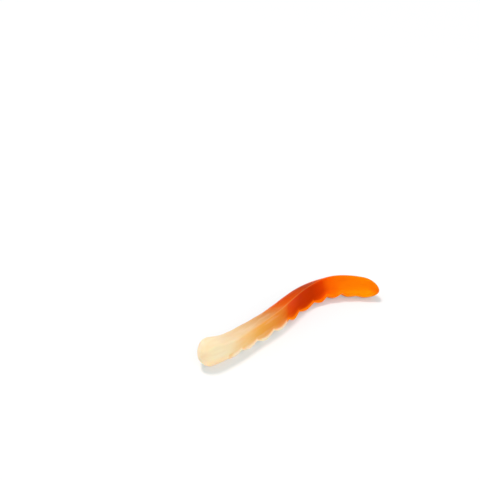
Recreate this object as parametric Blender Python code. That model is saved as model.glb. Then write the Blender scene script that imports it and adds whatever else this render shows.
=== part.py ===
"""A two-coloured gummy worm, poured in one piece.

The candy sets in an open mould.  The mould gives it a round belly, one smooth long edge and one scalloped
long edge, with a groove between every two scallops that dies out as it runs round the belly.  The open face
of the mould gives it a flat back, which sinks a little in the middle and keeps a raised lip all round.  The
set worm is then dropped on a table: it lies on its scalloped edge, bent like a lazy S in the table's plane,
and it twists along its length, so that the flat back turns from the table at one end to the sky at the other.

Frame: the origin is on the table under the middle of the worm's bounding box, +X runs along the longest
extent from the pale knob to the orange end, +Y to the side away from the flat back, +Z up.  Sizes below are in
millimetres and degrees, and MM turns them into metres.
"""

import math

import bmesh
import bpy
import numpy as np

MM = 0.001

# The scallops, from the pale knob to the orange end, and how deep the groove at each end of them cuts into the
# half width: the first rounds off the knob.  The lengths add up to the worm's length along its own middle line.
# The softness rounds the bottom of a groove, which would be a sharp V without it.
SCALLOP_LENGTHS = (11.8, 6.8, 8.8, 9.6, 10.2, 7.8, 10.9, 8.2, 8.3, 7.2, 10.4)
GROOVE_DEPTHS = (0.31, 0.11, 0.34, 0.41, 0.42, 0.40, 0.32, 0.28, 0.35, 0.26, 0.09, 0.0)
SCALLOP_ROUNDNESS = 1.1
GROOVE_SOFTNESS = 0.04
LENGTH = sum(SCALLOP_LENGTHS)

# The cross-section in the mould.  The lips of the back are sharp along the body and round at both ends:
# (distance along the worm, squareness).  Round the belly a groove is whole up to the first number of its fade
# and gone at the second, where -1 is the scalloped edge and 1 is the smooth edge.
HALF_WIDTH = 4.85
BACK_HEIGHT = 2.9
BELLY_DEPTH = 5.2
BACK_SQUARENESS = ((0, 2.2), (8, 2.6), (16, 4.5), (24, 7.0), (86, 7.0), (94, 4.4), (100, 2.8))
BELLY_SQUARENESS = 2.3
BACK_DISH = 0.50
DISH_FLATNESS = 3.0
GROOVE_FADE = (-0.6, 0.95)

# The round ends.
KNOB_LENGTH = 6.4
TIP_LENGTH = 7.6
KNOB_SQUARENESS = 1.9
TIP_SQUARENESS = 1.8

# How it lies: (distance along the worm, value).  The heading is the direction of the middle line in the
# table's plane, measured from +X.  The roll is how far the flat back looks up from the horizontal.
HEADINGS = (
    (0, 35),
    (8, 36.5),
    (18, 47.5),
    (30, 44.5),
    (45, 53.5),
    (58, 50),
    (67, 37),
    (75, 24.5),
    (83, 6.5),
    (91, -10),
    (100, -46),
)
ROLLS = ((0, -13.5), (12, -11.5), (30, 1), (50, 9.5), (65, 19), (80, 40), (100, 42))
GIRTHS = ((0, 1.37), (6, 1.19), (12, 1.05), (20, 0.98), (40, 0.98), (60, 0.975), (80, 1.00), (100, 0.88))

# How much of the soft candy sinks flat where it touches the table.
FLAT_SPOT_DEPTH = 0.25

# The net of the surface.
STEPS_PER_SCALLOP = 10
STEPS_PER_END = 7
BACK_POINTS = 6
LIP_POINTS = 4
BELLY_POINTS = 16

# The candy: between the cream half and the orange half.
CANDY_COLOUR = (0.95, 0.42, 0.10, 1.0)
CANDY_ROUGHNESS = 0.35


def along(knots, distance):
    """A smooth curve through the knots: a cubic between neighbours, with the slope of their parabola at each."""
    place, value = np.asarray(knots, float).T
    slope = np.gradient(value, place)
    left = np.clip(np.searchsorted(place, distance, side="right") - 1, 0, len(place) - 2)
    span = place[left + 1] - place[left]
    t = np.clip((distance - place[left]) / span, 0, 1)
    start = (1 + 2 * t) * (1 - t) ** 2 * value[left] + t * (1 - t) ** 2 * span * slope[left]
    finish = t * t * (3 - 2 * t) * value[left + 1] - t * t * (1 - t) * span * slope[left + 1]
    return start + finish


def groove(distance):
    """How deep the groove is at this distance: nothing on top of a scallop, and deepest between two of them."""
    edges = np.concatenate([[0], np.cumsum(SCALLOP_LENGTHS)])
    number = np.clip(np.searchsorted(edges, distance, side="right") - 1, 0, len(SCALLOP_LENGTHS) - 1)
    t = np.clip((distance - edges[number]) / (edges[number + 1] - edges[number]), 0, 1)
    depth = np.take(GROOVE_DEPTHS, np.where(t < 0.5, number, number + 1))
    bulge = np.hypot(np.sin(math.pi * t), GROOVE_SOFTNESS) ** SCALLOP_ROUNDNESS
    return depth * np.clip(1 - bulge, 0, 1)


def taper(distance):
    """The size of the section as a share of its full size: 1 along the body, and round down to 0 at both ends."""
    knob = np.clip((KNOB_LENGTH - distance) / KNOB_LENGTH, 0, 1)
    tip = np.clip((distance - LENGTH + TIP_LENGTH) / TIP_LENGTH, 0, 1)
    knob = np.clip(1 - knob**KNOB_SQUARENESS, 0, 1) ** (1 / KNOB_SQUARENESS)
    tip = np.clip(1 - tip**TIP_SQUARENESS, 0, 1) ** (1 / TIP_SQUARENESS)
    return knob * tip


def section(angle, distance, cut):
    """One section: (across, out).  Across runs to the smooth edge, out runs to the flat back.

    The angle is 0 at the smooth edge, 90 degrees in the middle of the back, 180 at the scalloped edge and 270
    on the belly.  The back is half of a squarish superellipse with a dish pressed in; the belly is half of a
    rounder one.  The groove draws in the scalloped edge most and the smooth edge not at all.
    """
    size = taper(distance) * along(GIRTHS, distance)
    cosine, sine = np.cos(angle), np.sin(angle)
    is_back = sine > 0
    power = 2 / np.where(is_back, along(BACK_SQUARENESS, distance), BELLY_SQUARENESS)
    across = np.sign(cosine) * np.abs(cosine) ** power
    out = np.sign(sine) * np.abs(sine) ** power
    fade = np.clip((across - GROOVE_FADE[0]) / (GROOVE_FADE[1] - GROOVE_FADE[0]), 0, 1)
    reach = np.where(is_back, across < 0, 1 - fade**2 * (3 - 2 * fade))
    drawn_in = 1 - cut * reach
    back = BACK_HEIGHT * out - BACK_DISH * (1 - np.abs(across) ** DISH_FLATNESS)
    belly = BELLY_DEPTH * out * drawn_in
    return HALF_WIDTH * size * across * drawn_in, size * np.where(is_back, back, belly)


def section_angles():
    """Angles that put the points where the section turns: a few on the flat back, close together on both lips."""
    fine = np.linspace(0, 2 * math.pi, 1441)
    across, out = section(fine, np.full_like(fine, LENGTH / 2), 0.0)
    run = np.concatenate([[0], np.cumsum(np.hypot(np.diff(across), np.diff(out)))])
    lip = [np.interp(math.radians(degrees), fine, run) for degrees in (14, 80, 100, 166)]
    stops = (0, lip[0], lip[1], lip[2], lip[3], run[-1])
    counts = (1, LIP_POINTS, BACK_POINTS, LIP_POINTS, BELLY_POINTS)
    places = [np.linspace(a, b, n, endpoint=False) for a, b, n in zip(stops[:-1], stops[1:], counts)]
    return np.interp(np.concatenate(places), run, fine)


def stations():
    """Distances of the sections: close together at the grooves and round the ends, wider on top of a scallop."""
    edges = np.concatenate([[0], np.cumsum(SCALLOP_LENGTHS)])
    ease = (1 - np.cos(math.pi * np.arange(STEPS_PER_SCALLOP) / STEPS_PER_SCALLOP)) / 2
    body = [a + (b - a) * ease for a, b in zip(edges[:-1], edges[1:])]
    round_end = 1 - np.cos(math.pi / 2 * np.arange(1, STEPS_PER_END + 1) / STEPS_PER_END)
    body = np.concatenate(body)
    body = body[(body > KNOB_LENGTH + 0.2) & (body < LENGTH - TIP_LENGTH - 0.2)]
    return np.concatenate([KNOB_LENGTH * round_end, body, (LENGTH - TIP_LENGTH * round_end)[::-1]])


def middle_line(distance):
    """The middle line on the table, found by walking along the headings in small steps."""
    walk = np.linspace(0, LENGTH, 1001)
    heading = np.radians(along(HEADINGS, walk))
    step = np.diff(walk) / 2
    x = np.concatenate([[0], np.cumsum(step * (np.cos(heading[1:]) + np.cos(heading[:-1])))])
    y = np.concatenate([[0], np.cumsum(step * (np.sin(heading[1:]) + np.sin(heading[:-1])))])
    return np.interp(distance, walk, x), np.interp(distance, walk, y)


def surface(distance, angle):
    """Points of the skin, one row of them for each section, in millimetres on the table."""
    x, y = middle_line(distance)
    heading = np.radians(along(HEADINGS, distance))[:, None]
    roll = np.radians(along(ROLLS, distance))[:, None]
    # The flat back looks along `out`, and the smooth edge points along `across`.
    out = np.stack([np.sin(heading) * np.cos(roll), -np.cos(heading) * np.cos(roll), np.sin(roll)], -1)
    across = np.stack([-np.sin(heading) * np.sin(roll), np.cos(heading) * np.sin(roll), np.cos(roll)], -1)
    rows, columns = np.meshgrid(distance, angle, indexing="ij")
    a, b = section(columns, rows, groove(rows))
    points = a[..., None] * across + b[..., None] * out
    # The full section without its grooves decides how high the middle line lies above the table.
    body = np.clip(distance, KNOB_LENGTH, LENGTH - TIP_LENGTH)
    rows, columns = np.meshgrid(body, np.linspace(0, 2 * math.pi, 181), indexing="ij")
    a, b = section(columns, rows, 0.0)
    lowest = (a * across[..., 2] + b * out[..., 2]).min(axis=1)
    points += np.stack([x, y, -lowest - FLAT_SPOT_DEPTH], -1)[:, None, :]
    points[..., 2] = np.maximum(points[..., 2], 0)
    return points


def skin(name, rings, first, last):
    """A closed skin: quads between neighbouring rings, and a fan of triangles from each end's point."""
    mesh = bmesh.new()
    loops = [[mesh.verts.new(point) for point in ring] for ring in rings]
    for ring, following in zip(loops[:-1], loops[1:]):
        for i, corner in enumerate(ring):
            j = (i + 1) % len(ring)
            mesh.faces.new((corner, following[i], following[j], ring[j]))
    for point, ring in ((first, loops[0]), (last, loops[-1])):
        pole = mesh.verts.new(point)
        for i, corner in enumerate(ring):
            mesh.faces.new((pole, corner, ring[(i + 1) % len(ring)]))
    bmesh.ops.recalc_face_normals(mesh, faces=mesh.faces)
    for face in mesh.faces:
        face.smooth = True
    data = bpy.data.meshes.new(name)
    mesh.to_mesh(data)
    mesh.free()
    piece = bpy.data.objects.new(name, data)
    bpy.context.collection.objects.link(piece)
    return piece


def candy():
    """Set gelatine candy: a satin skin over warm orange."""
    material = bpy.data.materials.new("candy")
    material.use_nodes = True
    shader = material.node_tree.nodes["Principled BSDF"]
    shader.inputs["Base Color"].default_value = CANDY_COLOUR
    shader.inputs["Roughness"].default_value = CANDY_ROUGHNESS
    shader.inputs["Metallic"].default_value = 0.0
    return material


def build():
    """Clears the scene and makes the worm."""
    for old in list(bpy.data.objects):
        bpy.data.objects.remove(old)
    angles = section_angles()
    distances = stations()
    rings = surface(distances, angles)
    poles = surface(np.array([0.0, LENGTH]), angles[:1])[:, 0]
    everything = rings.reshape(-1, 3)
    low, high = everything.min(axis=0), everything.max(axis=0)
    centre = np.array([(low[0] + high[0]) / 2, (low[1] + high[1]) / 2, 0.0])
    worm = skin("gummy_worm", (rings - centre) * MM, (poles[0] - centre) * MM, (poles[1] - centre) * MM)
    worm.data.materials.append(candy())


build()
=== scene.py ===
# %% [markdown]
# # A gummy worm, cream at its knob and orange at its tip
# A gummy worm is warm gelatine syrup poured into a worm-shaped hollow in a tray of starch. The hollow
# shapes the round belly and the scalloped edge, and the open side of the pour stays flat. When the
# candy has set it is tipped out, and it lies as it falls. This notebook makes one worm as a single
# closed skin of numpy points, gives it a soft candy finish, and lays it on a white table. Sizes of the
# worm are in millimetres and degrees.

# %% Tools and the solid that this worm dresses
import math

import bpy
import numpy as np
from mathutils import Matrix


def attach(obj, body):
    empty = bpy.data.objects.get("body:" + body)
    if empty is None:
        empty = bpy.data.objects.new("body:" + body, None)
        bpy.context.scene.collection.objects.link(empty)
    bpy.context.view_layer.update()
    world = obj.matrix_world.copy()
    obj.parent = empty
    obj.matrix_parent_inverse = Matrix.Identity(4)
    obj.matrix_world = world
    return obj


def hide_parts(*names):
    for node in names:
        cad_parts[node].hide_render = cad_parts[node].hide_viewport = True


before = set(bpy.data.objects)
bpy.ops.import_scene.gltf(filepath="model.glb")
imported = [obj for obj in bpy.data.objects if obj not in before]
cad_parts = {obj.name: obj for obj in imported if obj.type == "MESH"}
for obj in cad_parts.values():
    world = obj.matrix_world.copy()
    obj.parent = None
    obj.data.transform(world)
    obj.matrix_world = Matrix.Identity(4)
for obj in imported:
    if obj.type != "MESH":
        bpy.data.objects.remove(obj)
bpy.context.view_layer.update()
MM = 0.001
print("solids to dress:", list(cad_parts))

# %% [markdown]
# ## Values that change along the worm
# A soft thing has few straight lines: its heading, its twist and its thickness all drift from one end
# to the other. Each is written as a handful of knots, and one smooth curve runs through them.


# %% A smooth curve through a few knots
def along(knots, distance):
    """Reads a curve at a distance along the worm.

    Between two knots it is the cubic that has both their values and both their slopes. The slope at a
    knot is that of the parabola through it and its two neighbours, or at an end that of the line to
    its one neighbour. Past the first and the last knot the value stays.
    """
    place, value = np.asarray(knots, float).T
    slope = np.gradient(value, place)
    left = np.clip(np.searchsorted(place, distance, side="right") - 1, 0, len(place) - 2)
    span = place[left + 1] - place[left]
    t = np.clip((distance - place[left]) / span, 0, 1)
    start = (1 + 2 * t) * (1 - t) ** 2 * value[left] + t * (1 - t) ** 2 * span * slope[left]
    finish = t * t * (3 - 2 * t) * value[left + 1] - t * t * (1 - t) * span * slope[left + 1]
    return start + finish


print("half way between the values 2 and 4:", along(((0, 2), (10, 4)), 5.0))

# %% [markdown]
# ## How it fell
# The middle line lies in the plane of the table, so one angle at each place says where it goes next:
# the heading. The roll says how far the flat back looks up from the horizontal: at the knob it looks a
# little down, and towards the tip it turns up to the sky. The girth makes the knob fat and the waist
# slim. Nearly all the numbers of the pose, the scallops and the round ends come from a least-squares
# solver. It moved them until the outline of a model like this one lay on the worm's outline in the
# photograph, and its results were rounded.

# %% The knots of the pose
HEADINGS = (
    (0, 35),
    (8, 36.5),
    (18, 47.5),
    (30, 44.5),
    (45, 53.5),
    (58, 50),
    (67, 37),
    (75, 24.5),
    (83, 6.5),
    (91, -10),
    (100, -46),
)
ROLLS = ((0, -13.5), (12, -11.5), (30, 1), (50, 9.5), (65, 19), (80, 40), (100, 42))
GIRTHS = (
    (0, 1.37),
    (6, 1.19),
    (12, 1.05),
    (20, 0.98),
    (40, 0.98),
    (60, 0.975),
    (80, 1.00),
    (100, 0.88),
)
print("heading at the knob and at the tip, degrees:", HEADINGS[0][1], HEADINGS[-1][1])

# %% [markdown]
# ## Scallops
# The hollow in the starch is a row of bulges along one edge. On top of a scallop the section is whole,
# and between two scallops a groove bites into it. Half a turn of a sine, raised to a power near one,
# gives a round bulge with a narrow groove, and a little softness at the bottom keeps the groove from
# being a knife cut. There is one depth before each scallop and one after the last: the first rounds off
# the knob, and the tip has none.

# %% The scallops and the grooves between them
SCALLOP_LENGTHS = (11.8, 6.8, 8.8, 9.6, 10.2, 7.8, 10.9, 8.2, 8.3, 7.2, 10.4)
GROOVE_DEPTHS = (0.31, 0.11, 0.34, 0.41, 0.42, 0.40, 0.32, 0.28, 0.35, 0.26, 0.09, 0.0)
SCALLOP_ROUNDNESS = 1.1
GROOVE_SOFTNESS = 0.04
LENGTH = sum(SCALLOP_LENGTHS)
scallop_edges = np.concatenate([[0], np.cumsum(SCALLOP_LENGTHS)])


def scallop_number(distance):
    """Which scallop a place lies on: how many edges lie at or before it, less one."""
    number = np.searchsorted(scallop_edges, distance, side="right") - 1
    return np.clip(number, 0, len(SCALLOP_LENGTHS) - 1)


def groove(distance):
    """Depth of the groove as a share of the half width.

    With t running from 0 to 1 over a scallop, it is the groove's full depth times one minus the
    bulge. The bulge is the sine of half a turn of t, softened at zero and raised to the roundness.
    """
    number = scallop_number(distance)
    t = (distance - scallop_edges[number]) / (scallop_edges[number + 1] - scallop_edges[number])
    depth = np.take(GROOVE_DEPTHS, np.where(t < 0.5, number, number + 1))
    sine = np.hypot(np.sin(math.pi * np.clip(t, 0, 1)), GROOVE_SOFTNESS)
    return depth * np.clip(1 - sine**SCALLOP_ROUNDNESS, 0, 1)


print("worm along its middle line, mm:", round(LENGTH, 1))

# %% [markdown]
# ## The section
# Cut across, the worm is a D on its side. The back is the top half of a squarish superellipse with a
# dish pressed into it, because the syrup creeps up the sides of the hollow and leaves a raised lip. The
# belly is the lower half of a rounder superellipse. At both ends the section shrinks on a round curve.

# %% The sizes of the section
HALF_WIDTH = 4.85
BACK_HEIGHT = 2.9
BELLY_DEPTH = 5.2
BACK_SQUARENESS = ((0, 2.2), (8, 2.6), (16, 4.5), (24, 7.0), (86, 7.0), (94, 4.4), (100, 2.8))
BELLY_SQUARENESS = 2.3
BACK_DISH = 0.50
DISH_FLATNESS = 3.0
GROOVE_FADE = (-0.6, 0.95)
KNOB_LENGTH = 6.4
TIP_LENGTH = 7.6
KNOB_SQUARENESS = 1.9
TIP_SQUARENESS = 1.8
print("section, mm:", 2 * HALF_WIDTH, "by", round(BACK_HEIGHT + BELLY_DEPTH, 1))


# %% The round ends and the section as functions
def taper(distance):
    """Size of the section as a share.

    It rises from each end like a quarter of a superellipse, and is 1 between them.
    """
    knob = np.clip((KNOB_LENGTH - distance) / KNOB_LENGTH, 0, 1)
    tip = np.clip((distance - LENGTH + TIP_LENGTH) / TIP_LENGTH, 0, 1)
    knob = np.clip(1 - knob**KNOB_SQUARENESS, 0, 1) ** (1 / KNOB_SQUARENESS)
    tip = np.clip(1 - tip**TIP_SQUARENESS, 0, 1) ** (1 / TIP_SQUARENESS)
    return knob * tip


def section(angle, distance, cut):
    """Returns (across, out) of the section's point at an angle.

    Across is measured towards the smooth edge and out towards the flat back. The angle is 0 at the
    smooth edge, a quarter turn in the middle of the back and half a turn at the scalloped edge. The
    point is (cosine, sine) with both raised to 2 over the squareness, times the half sizes. On the
    back a dish of depth 1 - |across|^flatness is taken off. The groove draws in the scalloped edge
    most, and its bite dies out round the belly with the distance from that edge.
    """
    size = taper(distance) * along(GIRTHS, distance)
    cosine, sine = np.cos(angle), np.sin(angle)
    is_back = sine > 0
    power = 2 / np.where(is_back, along(BACK_SQUARENESS, distance), BELLY_SQUARENESS)
    across = np.sign(cosine) * np.abs(cosine) ** power
    out = np.sign(sine) * np.abs(sine) ** power
    fade = np.clip((across - GROOVE_FADE[0]) / (GROOVE_FADE[1] - GROOVE_FADE[0]), 0, 1)
    reach = np.where(is_back, across < 0, 1 - fade**2 * (3 - 2 * fade))
    drawn_in = 1 - cut * reach
    back = BACK_HEIGHT * out - BACK_DISH * (1 - np.abs(across) ** DISH_FLATNESS)
    belly = BELLY_DEPTH * out * drawn_in
    return HALF_WIDTH * size * across * drawn_in, size * np.where(is_back, back, belly)


print("size of the section 1 mm from the knob's end:", round(float(taper(1.0)), 2))

# %% [markdown]
# ## The net of the skin
# The skin is a grid: rows are sections, columns run along the worm. Columns crowd on both lips, so
# that every corner of the candy is round in the picture. To place them at equal lengths of arc, the
# outline of the section is first walked in very fine steps and its length added up.

# %% Once round the section
FINE_STEPS = 5760

fine_angles = np.linspace(0, 2 * math.pi, FINE_STEPS + 1)
fine_across, fine_out = section(fine_angles, np.full_like(fine_angles, LENGTH / 2), 0.0)
fine_arc = np.concatenate([[0], np.cumsum(np.hypot(np.diff(fine_across), np.diff(fine_out)))])
GIRTH_LINE = fine_arc[-1]
smooth_lip = fine_arc[np.argmax(fine_across + fine_out)]
scalloped_lip = fine_arc[np.argmax(fine_out - fine_across)]
print("once round the section, mm:", round(GIRTH_LINE, 1))

# %% Columns of the net
LIP_COLUMNS = 22
BACK_COLUMNS = 36
BELLY_COLUMNS = 76
STRETCH_ENDS = (80, 100, 180)


def section_angles():
    """Angles at equal lengths of arc within each stretch: lip, flat back, lip and belly.

    The first three stretches end at the angles of STRETCH_ENDS, in degrees from the smooth edge.
    """
    turns = [np.interp(math.radians(degrees), fine_angles, fine_arc) for degrees in STRETCH_ENDS]
    stops = (0, *turns, GIRTH_LINE)
    counts = (LIP_COLUMNS, BACK_COLUMNS, LIP_COLUMNS, BELLY_COLUMNS)
    places = [np.linspace(a, b, n, endpoint=False) for a, b, n in zip(stops[:-1], stops[1:], counts)]
    return np.interp(np.concatenate(places), fine_arc, fine_angles)


angles = section_angles()
print("columns:", len(angles))

# %% [markdown]
# ## Rows where the shape turns
# A groove is narrow and a scallop's top is nearly straight, so rows are spent at the grooves. Cosine
# steps do that, as they are short at both ends of a stretch. Mixing in some even steps keeps the rows
# on the top from lying too far apart. The round ends have cosine steps of their own.

# %% Rows of the net
STEPS_PER_SCALLOP = 44
STEPS_PER_END = 26
ROW_CROWDING = 0.65
ROW_GAP = 0.1


def stations():
    """Distances of the rows along the worm.

    Over a scallop they are a blend of even steps and cosine steps, and over a round end they are
    cosine steps. A small gap is left where a round end meets the rows between the ends.
    """
    steps = np.arange(STEPS_PER_SCALLOP) / STEPS_PER_SCALLOP
    ease = (1 - ROW_CROWDING) * steps + ROW_CROWDING * (1 - np.cos(math.pi * steps)) / 2
    body = np.concatenate([a + (b - a) * ease for a, b in zip(scallop_edges[:-1], scallop_edges[1:])])
    body = body[(body > KNOB_LENGTH + ROW_GAP) & (body < LENGTH - TIP_LENGTH - ROW_GAP)]
    round_end = 1 - np.cos(math.pi / 2 * np.arange(1, STEPS_PER_END + 1) / STEPS_PER_END)
    return np.concatenate([KNOB_LENGTH * round_end, body, (LENGTH - TIP_LENGTH * round_end)[::-1]])


distances = stations()
print("rows:", len(distances))

# %% [markdown]
# ## The middle line
# Walking along the headings in small steps gives the middle line on the table. A Bezier curve drawn by
# hand would do too, but then its length would change with every pull on a handle. Here the length is
# given, and only the turns have to be found.

# %% The middle line
WALK_STEPS = 1000


def middle_line(distance):
    """Place of the middle line on the table: the running sum of cosine and sine of the heading."""
    walk = np.linspace(0, LENGTH, WALK_STEPS + 1)
    heading = np.radians(along(HEADINGS, walk))
    step = np.diff(walk) / 2
    x = np.concatenate([[0], np.cumsum(step * (np.cos(heading[1:]) + np.cos(heading[:-1])))])
    y = np.concatenate([[0], np.cumsum(step * (np.sin(heading[1:]) + np.sin(heading[:-1])))])
    return np.interp(distance, walk, x), np.interp(distance, walk, y)


print("straight from end to end, mm:", round(float(np.hypot(*middle_line(LENGTH))), 1))

# %% [markdown]
# ## From the section to the table
# At each row two directions are needed: `out`, where the flat back looks, and `across`, where the
# smooth edge points. The height of the row is what lets the whole section rest on the table. The candy
# is soft, so it settles a quarter of a millimetre there.

# %% The skin
FLAT_SPOT_DEPTH = 0.25
OUTLINE_STEPS = 180


def surface(distance, angle):
    """Points of the skin, never under the table.

    Each is a point of the middle line plus across times its direction plus out times its direction.
    The row is lifted by its lowest point, less the depth of the flat spot.
    """
    x, y = middle_line(distance)
    heading = np.radians(along(HEADINGS, distance))[:, None]
    roll = np.radians(along(ROLLS, distance))[:, None]
    out = np.stack([np.sin(heading) * np.cos(roll), -np.cos(heading) * np.cos(roll), np.sin(roll)], -1)
    across = np.stack([-np.sin(heading) * np.sin(roll), np.cos(heading) * np.sin(roll), np.cos(roll)], -1)
    rows, columns = np.meshgrid(distance, angle, indexing="ij")
    a, b = section(columns, rows, groove(rows))
    points = a[..., None] * across + b[..., None] * out
    body = np.clip(distance, KNOB_LENGTH, LENGTH - TIP_LENGTH)
    once_round = np.linspace(0, 2 * math.pi, OUTLINE_STEPS + 1)
    rows, columns = np.meshgrid(body, once_round, indexing="ij")
    a, b = section(columns, rows, 0.0)
    lowest = (a * across[..., 2] + b * out[..., 2]).min(axis=1)
    points += np.stack([x, y, -lowest - FLAT_SPOT_DEPTH], -1)[:, None, :]
    points[..., 2] = np.maximum(points[..., 2], 0)
    return points


rings = surface(distances, angles)
poles = surface(np.array([0.0, LENGTH]), angles[:1])[:, 0]
low, high = rings.reshape(-1, 3).min(axis=0), rings.reshape(-1, 3).max(axis=0)
centre = np.array([(low[0] + high[0]) / 2, (low[1] + high[1]) / 2, 0.0])
print("worm, mm:", np.round(high - low, 1))

# %% [markdown]
# ## One closed mesh
# Neighbouring rows are joined by quads, and each end is closed by a fan of triangles round one point. A
# Subdivision Surface on a coarse cage would also give a smooth skin, but it would round off the lips
# and fill the grooves, so the net itself is made fine enough and only its shading is smoothed.


# %% Join the net into a mesh
def join_net(name, rings, poles):
    """Makes the mesh: point number = row * columns + column, and the last two points close the ends."""
    rows, columns = rings.shape[:2]
    number = np.arange(rows * columns).reshape(rows, columns)
    nearer, next_nearer = number[:-1], np.roll(number[:-1], -1, axis=1)
    further, next_further = number[1:], np.roll(number[1:], -1, axis=1)
    quads = np.stack([nearer, next_nearer, next_further, further], -1).reshape(-1, 4)
    first, last = rows * columns, rows * columns + 1
    knob_fan = np.stack([np.full(columns, first), np.roll(number[0], -1), number[0]], -1)
    tip_fan = np.stack([np.full(columns, last), number[-1], np.roll(number[-1], -1)], -1)
    points = np.concatenate([rings.reshape(-1, 3), poles]) * MM
    mesh = bpy.data.meshes.new(name)
    mesh.from_pydata(points.tolist(), [], quads.tolist() + knob_fan.tolist() + tip_fan.tolist())
    mesh.polygons.foreach_set("use_smooth", np.ones(len(mesh.polygons), bool))
    mesh.update()
    piece = bpy.data.objects.new(name, mesh)
    bpy.context.scene.collection.objects.link(piece)
    return piece


worm = join_net("worm_candy", rings - centre, poles - centre)
print("worm:", len(worm.data.polygons), "faces")

# %% [markdown]
# ## Numbers that the finish reads
# Where a point lies on the candy decides its colour, and that is easiest to say in the candy's own
# terms: how far along it is, how far round it is, and how far in from the scalloped lip. An image could
# hold such a pattern too, but it would need unwrapping. So each number is worked out for the whole net
# at once and kept at the points of the mesh. A bell curve, exp(-(x / width)^2), makes soft bands, and
# all bands fade out where the section shrinks at the ends, because there they would run together in
# wedges.

# %% How far in from each lip
CORNER = 0.5
BANDS_FADE = (0.35, 0.9)


def bell(x, width):
    """One at zero, and falling away softly on both sides: exp(-(x / width)^2)."""
    return np.exp(-((x / width) ** 2))


arc = np.interp(angles, fine_angles, fine_arc)
from_smooth, from_scallops = arc - smooth_lip, scalloped_lip - arc
full = np.clip((taper(distances) - BANDS_FADE[0]) / (BANDS_FADE[1] - BANDS_FADE[0]), 0, 1)[:, None]
on_back = np.clip(0.5 + from_smooth / CORNER, 0, 1) * np.clip(0.5 + from_scallops / CORNER, 0, 1)
print("flat back from lip to lip, mm:", round(scalloped_lip - smooth_lip, 1))

# %% [markdown]
# ## Painted light on the thin lip, painted shade past the grooves
# The scalloped lip is thin, so light passes through it: its pale edge and the softer, wider rim behind it
# are painted light. The pale edge lies just inside the corner and widens from the start of each scallop
# to its end. Just past each groove a small golden pocket is painted shade.
# The crease on the other side is the smooth lip, and a narrow painted highlight runs along it.

# %% Bands along the lips
LIP_HIGHLIGHT_WIDTH = 0.22
RIM_WIDTH = 2.2
EDGE_WIDTH = 0.60
EDGE_SHIFT = 0.65
EDGE_AT_START = 0.7
EDGE_GROWTH = 0.9
BELLY_EDGE = 1.5
GROOVE_SHADE_PLACE = (1.0, 0.95)
GROOVE_SHADE_SIZE = (1.4, 0.75)

number = scallop_number(distances)
from_groove = (distances - scallop_edges[number])[:, None]
share = from_groove / np.take(SCALLOP_LENGTHS, number)[:, None]
edge_width = EDGE_WIDTH * (EDGE_AT_START + EDGE_GROWTH * share)
# The pale edge is painted light, where light passes through the thin lip.
edge = bell(np.maximum(from_scallops - EDGE_SHIFT, 0), edge_width)
edge = edge * bell(np.minimum(from_scallops, 0), BELLY_EDGE)
# Painted shade just past each groove, in the hollow where the scallop begins.
pocket = (number > 0)[:, None] * bell(from_groove - GROOVE_SHADE_PLACE[0], GROOVE_SHADE_SIZE[0])
pocket = pocket * bell(from_scallops - GROOVE_SHADE_PLACE[1], GROOVE_SHADE_SIZE[1])
print("widest pale edge, mm:", round(float(EDGE_SHIFT + edge_width.max()), 1))

# %% Keep the numbers at the points
BELLY_FADE = 0.4


def store(piece, name, values, at_poles):
    """Keeps a number for each point of the mesh, under a name that a material reads.

    The two poles come last, as they do in the mesh.
    """
    layer = piece.data.attributes.new(name, "FLOAT", "POINT")
    layer.data.foreach_set("value", np.append(values, at_poles).astype(np.float32))


round_belly = np.clip(np.mod(-from_smooth, GIRTH_LINE) / (BELLY_FADE * GIRTH_LINE), 0, 1) * (1 - on_back)
across, out = section(*np.meshgrid(angles, distances), 0.0)
store(worm, "along", distances[:, None] / LENGTH * np.ones(len(angles)), (0, 1))
store(worm, "across", across, (0, 0))
store(worm, "out", out, (0, 0))
store(worm, "flat_back", 0.5 + full * (on_back - 0.5), (0.5, 0.5))
store(worm, "round_belly", full * round_belly, (0, 0))
# The next four numbers carry a painted highlight on the crease, painted light on the rim and the edge,
# and painted shade past each groove.
store(worm, "lip_line", full * bell(from_smooth, LIP_HIGHLIGHT_WIDTH), (0, 0))
store(worm, "rim", full * bell(from_scallops, RIM_WIDTH), (0, 0))
store(worm, "edge", full * edge, (0, 0))
store(worm, "pocket", pocket, (0, 0))
kept = [layer.name for layer in worm.data.attributes if layer.data_type == "FLOAT"]
print("numbers at the points:", kept)

# %% [markdown]
# ## Writing materials as sums
# Every node socket that carries a value is wrapped in a small class, so that a mask can be written as
# an ordinary sum. Adding or multiplying two of them lays down a Math node.

# %% A class for shader values
class Value:
    """A shader value: arithmetic on it adds Math nodes to its material."""

    def __init__(self, finish, socket):
        self.finish = finish
        self.socket = socket

    def _math(self, operation, *others):
        return self.finish.node("ShaderNodeMath", {"operation": operation}, *others)

    def __add__(self, other):
        return self._math("ADD", self, other)

    def __sub__(self, other):
        return self._math("SUBTRACT", self, other)

    def __rsub__(self, other):
        return self._math("SUBTRACT", other, self)

    def __mul__(self, other):
        return self._math("MULTIPLY", self, other)

    __radd__ = __add__
    __rmul__ = __mul__

    def clipped(self):
        """The value kept between 0 and 1."""
        return self._math("MINIMUM", self._math("MAXIMUM", self, 0.0), 1.0)


print("a shader value can be added, subtracted, multiplied and clipped")

# %% [markdown]
# ## A material and its nodes
# A material is a net of nodes that ends in one Principled shader. Placing them by hand in the editor
# is fine for one material, but a script that lays them down can be read and changed. Colours are
# blended by `mix`, because a Math node would turn them grey.


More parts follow.
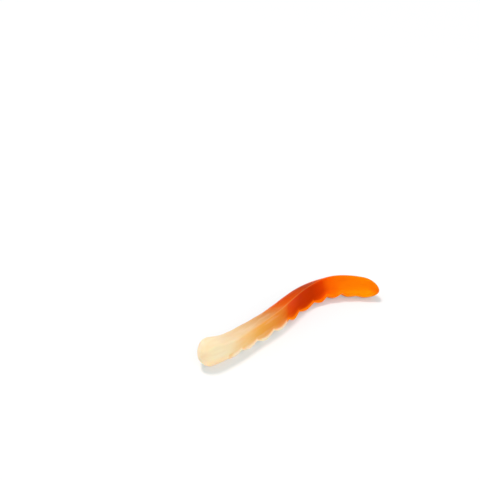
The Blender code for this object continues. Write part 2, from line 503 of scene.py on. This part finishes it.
# %% A class for materials
class Finish:
    """A material with one Principled shader, and helpers that lay down its nodes."""

    def __init__(self, name):
        self.material = bpy.data.materials.new(name)
        self.material.use_nodes = True
        self.tree = self.material.node_tree
        self.shader = self.tree.nodes["Principled BSDF"]

    def feed(self, socket, value):
        """Links a shader value into a socket, or writes a plain number or colour on it."""
        if isinstance(value, Value):
            self.tree.links.new(value.socket, socket)
        else:
            socket.default_value = value

    def node(self, kind, settings, *values, output=0, **named):
        """Adds a node: its settings first, then its sockets by order or by name."""
        made = self.tree.nodes.new(kind)
        for key, setting in settings.items():
            if key == "stops":
                self.set_stops(made.color_ramp, setting)
            else:
                setattr(made, key, setting)
        for socket, value in zip(made.inputs, values):
            self.feed(socket, value)
        for name, value in named.items():
            self.feed(made.inputs[name.replace("_", " ")], value)
        return Value(self, made.outputs[output])

    def set_stops(self, ramp, stops):
        """Writes a colour ramp's stops: (place from 0 to 1, colour)."""
        while len(ramp.elements) < len(stops):
            ramp.elements.new(0.5)
        for element, (place, colour) in zip(ramp.elements, stops):
            element.position = place
            element.color = colour

    def mix(self, factor, first, second):
        """Blends two colours by a factor.

        A Mix node takes its factor at socket 0 and its two colours at 6 and 7, and gives the blended
        colour at output 2. Its other sockets blend numbers and vectors.
        """
        made = self.tree.nodes.new("ShaderNodeMix")
        made.data_type = "RGBA"
        self.feed(made.inputs[0], factor)
        self.feed(made.inputs[6], first)
        self.feed(made.inputs[7], second)
        return Value(self, made.outputs[2])

    def stored(self, name):
        """Reads a number kept at the mesh's points: an Attribute node's output 2."""
        return self.node("ShaderNodeAttribute", {"attribute_name": name}, output=2)


print("a finish can lay down nodes, mix colours and read stored numbers")

# %% [markdown]
# ## Colours as a screen shows them
# A shader counts light, and a screen doesn't: its middle grey of 128 stands for only a fifth of the
# light of white. Colours are easier to judge as a screen shows them, in 0 to 255, so they are written
# that way and turned into light here.

# %% Turn a screen colour into light
BLACK = (0, 0, 0, 1)


def from_screen(red, green, blue):
    """Turns a colour of 0 to 255 as a screen shows it into the linear colour that a shader takes.

    The darkest shares are divided by 12.92. Of the others, (share + 0.055) / 1.055 is raised to 2.4.
    """
    share = np.array([red, green, blue]) / 255
    linear = np.where(share <= 0.04045, share / 12.92, ((share + 0.055) / 1.055) ** 2.4)
    return (*linear.tolist(), 1.0)


print("light of a middle grey:", round(from_screen(128, 128, 128)[0], 2))

# %% [markdown]
# ## The colours of the candy
# Two syrups are poured from two nozzles, so the colour changes half way along. The cream syrup has no
# dye, and its golden tone on the flat back is painted shade, for the light that has to go through more of
# the gelatine there. The orange syrup is deep and reddish in its middle and bright at the tip; part of
# that deep red is painted, a red thing behind seen through the candy. One ramp of colours along the worm
# is written for each part of the skin, since belly, back and lips show the syrup at a different depth and
# in different light, which is painted into them. A stop is a place from 0 to 1 and a screen colour. Most
# first stops of the back, and about half of those of the belly, were colours read off the photograph
# along the worm. A script then suggested stops for both, from the photograph's colour over the render's,
# and they were taken over nearly as they came. Later changes, and all stops of the rim, the edge and the
# lips, were made after comparing readings of the render and the photograph.

# %% Ramps of colour along the worm
# The deep red from 0.60 to 0.69 is partly painted: a red thing behind, seen through the candy.
BELLY_COLOURS = (
    (0.00, (243, 222, 186)),
    (0.12, (232, 210, 173)),
    (0.24, (223, 186, 140)),
    (0.34, (207, 149, 92)),
    (0.40, (206, 119, 56)),
    (0.46, (213, 90, 18)),
    (0.51, (208, 71, 3)),
    (0.60, (188, 62, 1)),
    (0.65, (165, 53, 1)),
    (0.69, (172, 52, 1)),
    (0.75, (215, 76, 3)),
    (0.84, (248, 116, 2)),
    (1.00, (252, 132, 2)),
)
# Painted shade: the golden cream up to about 0.3. The deep red from 0.51 to 0.72 is partly painted, a red
# thing behind seen through the candy.
BACK_COLOURS_AND_SHADE = (
    (0.00, (255, 225, 182)),
    (0.07, (255, 233, 194)),
    (0.12, (255, 222, 176)),
    (0.15, (252, 210, 154)),
    (0.20, (249, 198, 127)),
    (0.29, (239, 169, 74)),
    (0.43, (231, 124, 30)),
    (0.455, (229, 106, 14)),
    (0.475, (228, 78, 3)),
    (0.51, (221, 64, 1)),
    (0.57, (202, 52, 1)),
    (0.66, (200, 52, 1)),
    (0.72, (223, 67, 1)),
    (0.76, (244, 101, 2)),
    (0.82, (255, 121, 1)),
    (0.95, (255, 137, 2)),
    (1.00, (244, 122, 8)),
)
# Painted light through the thin lip; the deep red from 0.60 to 0.66 is partly painted, a red thing behind
# seen through the candy.
LIT_RIM_COLOURS = (
    (0.00, (253, 226, 184)),
    (0.20, (250, 209, 148)),
    (0.40, (254, 200, 130)),
    (0.45, (252, 188, 108)),
    (0.462, (255, 134, 3)),
    (0.53, (248, 96, 2)),
    (0.60, (208, 58, 1)),
    (0.66, (208, 58, 1)),
    (0.74, (250, 96, 2)),
    (0.80, (255, 140, 2)),
    (1.00, (255, 150, 3)),
)
# Painted light: the thin lip shining where light passes through it.
LIT_EDGE_COLOURS = (
    (0.00, (252, 224, 182)),
    (0.09, (252, 223, 180)),
    (0.15, (255, 238, 212)),
    (0.45, (255, 236, 208)),
    (0.46, (255, 146, 14)),
    (0.75, (255, 118, 2)),
    (1.00, (255, 156, 3)),
)
# Painted highlight along the crease of the smooth lip.
LIP_HIGHLIGHT_COLOURS = (
    (0.00, (252, 234, 198)),
    (0.13, (249, 229, 189)),
    (0.18, (239, 205, 157)),
    (0.32, (223, 164, 106)),
    (0.45, (213, 129, 68)),
    (0.52, (199, 109, 52)),
    (0.62, (175, 95, 50)),
    (0.72, (226, 104, 36)),
    (1.00, (255, 139, 3)),
)


def ramp(finish, place, colours):
    """Lays down a colour ramp of screen colours and reads it at a place."""
    stops = [(stop, from_screen(*colour)) for stop, colour in colours]
    return finish.node("ShaderNodeValToRGB", {"stops": stops}, place)


ramps = (BELLY_COLOURS, BACK_COLOURS_AND_SHADE, LIT_RIM_COLOURS, LIT_EDGE_COLOURS, LIP_HIGHLIGHT_COLOURS)
print("stops in the ramps:", [len(colours) for colours in ramps])

# %% [markdown]
# ## Streaks of the pour, with painted highlight
# Syrup that runs into the hollow leaves faint streaks along the worm, paler and darker than the rest, and
# the pale ones also carry painted highlight.
# Noise makes them: it is read at a place that counts much further along the worm than across it, so
# that its blobs are drawn out. A slow noise also moves the change from cream to orange a little to and
# fro, as two syrups that meet never part on a straight line.

# %% Places for the noise, and the streaks
WANDER_SCALE = 420.0
WANDER = 0.012
STREAKS_ALONG = 12.0
STREAKS_ACROSS = 0.55
STREAK_CONTRAST = 6.0
CREAM_END = 0.46
CREAM_CHANGE = 10.0
OBJECT_COORDINATES = 3

candy = Finish("candy")
grain_place = candy.node("ShaderNodeTexCoord", {}, output=OBJECT_COORDINATES)
wander = candy.node("ShaderNodeTexNoise", {}, grain_place, Scale=WANDER_SCALE, Detail=1.0)
place = candy.stored("along") + WANDER * (wander - 0.5)
sideways = [STREAKS_ACROSS * candy.stored(name) for name in ("across", "out")]
pour = candy.node("ShaderNodeCombineXYZ", {}, STREAKS_ALONG * place, *sideways)
streak = candy.node("ShaderNodeTexNoise", {}, pour, Scale=1.0, Detail=2.0)
dark_streak = (STREAK_CONTRAST * (streak - 0.5)).clipped()
# Pale streaks: partly marbling of the pour, partly painted highlight.
pale_streak_and_highlight = (STREAK_CONTRAST * (0.5 - streak)).clipped()
cream = (CREAM_CHANGE * (CREAM_END - place)).clipped()
print("streaks and change of colour:", len(candy.tree.nodes), "nodes")

# %% [markdown]
# ## One colour over another
# The colours go on like thin washes: first the belly and the flat back with its painted shade, then the
# painted light of the wide rim, the streaks with their painted highlight, the painted light of the pale
# edge, the painted shade past each groove and the painted highlight on the crease, each by its own share.
# Going round the belly the ramp is read a little further on, since the two syrups slant where they meet.

# %% Put the colours together
BELLY_SLANT = 0.10
LIT_RIM_SHARE = 0.72
AMBER = (224, 160, 84)
AMBER_SHARE = 0.10
PALE_STREAK_AND_HIGHLIGHT = (255, 240, 214)
PALE_HIGHLIGHT_SHARE = 0.09
DEEP = (196, 52, 1)
DEEP_SHARE = 0.15
LIT_EDGE_SHARE = 0.9
GROOVE_SHADE_GOLD = (238, 182, 104)
GROOVE_SHADE_SHARE = 0.55
LIP_HIGHLIGHT_SHARE = 0.8

belly_colour = ramp(candy, place + BELLY_SLANT * candy.stored("round_belly"), BELLY_COLOURS)
# The flat back's ramp carries painted shade and a painted see-through red.
colour = candy.mix(candy.stored("flat_back"), belly_colour, ramp(candy, place, BACK_COLOURS_AND_SHADE))
# Painted light: the wide rim along the thin scalloped lip.
colour = candy.mix(LIT_RIM_SHARE * candy.stored("rim"), colour, ramp(candy, place, LIT_RIM_COLOURS))
colour = candy.mix(AMBER_SHARE * dark_streak * cream, colour, from_screen(*AMBER))
# Pale streaks: partly marbling, partly painted highlight.
colour = candy.mix(PALE_HIGHLIGHT_SHARE * pale_streak_and_highlight * cream, colour, from_screen(*PALE_STREAK_AND_HIGHLIGHT))
colour = candy.mix(DEEP_SHARE * dark_streak * (1.0 - cream), colour, from_screen(*DEEP))
# Painted light: the pale edge of the thin lip.
colour = candy.mix(LIT_EDGE_SHARE * candy.stored("edge"), colour, ramp(candy, place, LIT_EDGE_COLOURS))
# Painted shade: the golden pocket just past each groove.
colour = candy.mix(GROOVE_SHADE_SHARE * candy.stored("pocket") * cream, colour, from_screen(*GROOVE_SHADE_GOLD))
# Painted highlight: the narrow line along the crease.
colour = candy.mix(LIP_HIGHLIGHT_SHARE * candy.stored("lip_line"), colour, ramp(candy, place, LIP_HIGHLIGHT_COLOURS))
candy.feed(candy.shader.inputs["Base Color"], colour)
print("candy:", len(candy.tree.nodes), "nodes")

# %% [markdown]
# ## Light through the thin lip
# The thin lip passes some light from behind, so it looks brighter than the light that falls on it. A
# full simulation of light through the candy would be slow and grainy, so the lip gives out a little
# warm light of its own.

# %% Let the lip glow
GLOW = (255, 108, 0)
GLOW_STRENGTH = 0.15
RIM_GLOW = 0.6

thin = (candy.stored("edge") + RIM_GLOW * candy.stored("rim") * (1.0 - cream)).clipped()
candy.feed(candy.shader.inputs["Emission Color"], candy.mix(thin, BLACK, from_screen(*GLOW)))
candy.shader.inputs["Emission Strength"].default_value = GLOW_STRENGTH
print("glow of the lip:", GLOW_STRENGTH)

# %% [markdown]
# ## The skin and the light inside
# Light enters candy and comes out somewhere else, which is what Subsurface does: red goes furthest and
# blue dies first. The skin is satin and nearly without a mirror, as it took on the fine grain of the
# starch and a breath of oil. The grain is far too small to model, so a bump carries it.

# %% The satin skin
ROUGHNESS = 0.30
MIRROR = 0.015
LIGHT_REACH = 1.5 * MM
REACH_OF_COLOURS = (1.0, 0.6, 0.35)
GRAIN_SCALE = 1500.0
GRAIN_HEIGHT = 0.05 * MM
GRAIN_STRENGTH = 0.5

candy.shader.inputs["Roughness"].default_value = ROUGHNESS
candy.shader.inputs["IOR"].default_value = 1.45
candy.shader.inputs["Specular IOR Level"].default_value = MIRROR
candy.shader.inputs["Subsurface Weight"].default_value = 1.0
candy.shader.inputs["Subsurface Radius"].default_value = REACH_OF_COLOURS
candy.shader.inputs["Subsurface Scale"].default_value = LIGHT_REACH
grain = candy.node("ShaderNodeTexNoise", {}, grain_place, Scale=GRAIN_SCALE, Detail=3.0)
bump = candy.node("ShaderNodeBump", {}, Strength=GRAIN_STRENGTH, Distance=GRAIN_HEIGHT, Height=grain)
candy.feed(candy.shader.inputs["Normal"], bump)
worm.data.materials.append(candy.material)
print("light reaches into the candy, mm:", LIGHT_REACH / MM)

# %% [markdown]
# ## The table
# The candy lies on a plain white table, so wide that its end never shows. Orange candy throws warm
# light on the paint round it, more than the eye notices on a real table. A grey paint would look dull,
# and a white one turns pink in the shadow. So the table gives out some cool light of its own: with the
# lamps it comes up to pure white, and the shadow stays grey.

# %% The white table
TABLE_SIZE = 12.0
TABLE_PAINT = (0.74, 0.60, 0.58, 1)
TABLE_LIGHT = (0.13, 0.30, 0.325, 1)
TABLE_ROUGHNESS = 0.7

half = TABLE_SIZE / 2
corners = [(-half, -half, 0), (half, -half, 0), (half, half, 0), (-half, half, 0)]
table_mesh = bpy.data.meshes.new("table")
table_mesh.from_pydata(corners, [], [(0, 1, 2, 3)])
table = bpy.data.objects.new("table", table_mesh)
bpy.context.scene.collection.objects.link(table)
paint = Finish("table_white")
paint.shader.inputs["Base Color"].default_value = TABLE_PAINT
paint.shader.inputs["Roughness"].default_value = TABLE_ROUGHNESS
paint.shader.inputs["Emission Color"].default_value = TABLE_LIGHT
paint.shader.inputs["Emission Strength"].default_value = 1.0
table_mesh.materials.append(paint.material)
print("table, m:", TABLE_SIZE)

# %% [markdown]
# ## The light
# A soft key lamp hangs almost overhead, a little behind the worm and to its left, so that a short soft
# shadow shows below and to the right. A wide fill lamp in front of the table lights the flat back, and
# its own shadow hides behind the worm. A pale sky does the rest. Suns are used because they light every
# place alike.

# %% The two lamps and the sky
KEY_STRENGTH = 1.7
FILL_STRENGTH = 0.75
SKY_STRENGTH = 0.55


def hang_lamp(name, strength, width, tilt, turn):
    """Hangs a soft lamp. It looks straight down, is tilted about X and then turned about Z.

    The tilt, the turn and the width of the lamp as the worm sees it are in degrees.
    """
    data = bpy.data.lights.new(name, "SUN")
    data.energy = strength
    data.angle = math.radians(width)
    lamp = bpy.data.objects.new(name, data)
    lamp.rotation_euler = (math.radians(tilt), 0, math.radians(turn))
    bpy.context.scene.collection.objects.link(lamp)


hang_lamp("key_lamp", KEY_STRENGTH, width=16, tilt=-18, turn=52)
hang_lamp("fill_lamp", FILL_STRENGTH, width=60, tilt=55, turn=20)
sky = bpy.data.worlds.new("pale_sky")
sky.use_nodes = True
sky.node_tree.nodes["Background"].inputs["Color"].default_value = (1, 1, 1, 1)
sky.node_tree.nodes["Background"].inputs["Strength"].default_value = SKY_STRENGTH
bpy.context.scene.world = sky
bpy.context.scene.view_settings.view_transform = "Standard"
print("lamps:", KEY_STRENGTH, FILL_STRENGTH, "sky:", SKY_STRENGTH)

# %% [markdown]
# ## The camera
# The camera looks down at the table from in front, by a quarter of a right angle and a little more. It
# stands about a quarter of a metre away, so that the knob, which is nearer, looks larger than the tip.
# A camera further off with a longer lens would flatten the worm, and one nearer by would stretch it.
# Its pitch, lens and place were solved from the photograph too, and rounded.

# %% The camera
CAMERA_PLACE = (-23.17, -211.34, 140.80)
CAMERA_PITCH = 25.5
FOCAL_LENGTH = 45.2
NEAREST_SEEN = 0.01
camera_data = bpy.data.cameras.new("camera")
camera_data.lens = FOCAL_LENGTH
camera_data.clip_start = NEAREST_SEEN
camera = bpy.data.objects.new("camera", camera_data)
camera.location = [value * MM for value in CAMERA_PLACE]
camera.rotation_euler = (math.radians(90 - CAMERA_PITCH), 0, 0)
bpy.context.scene.collection.objects.link(camera)
bpy.context.scene.camera = camera
print("camera, mm:", CAMERA_PLACE)

# %% [markdown]
# ## Hand the worm over
# The skin rides on the worm's one body and takes the place of its plain solid. The table is only a
# stage.

# %% Hand the worm over
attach(worm, "root")
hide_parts("gummy_worm")
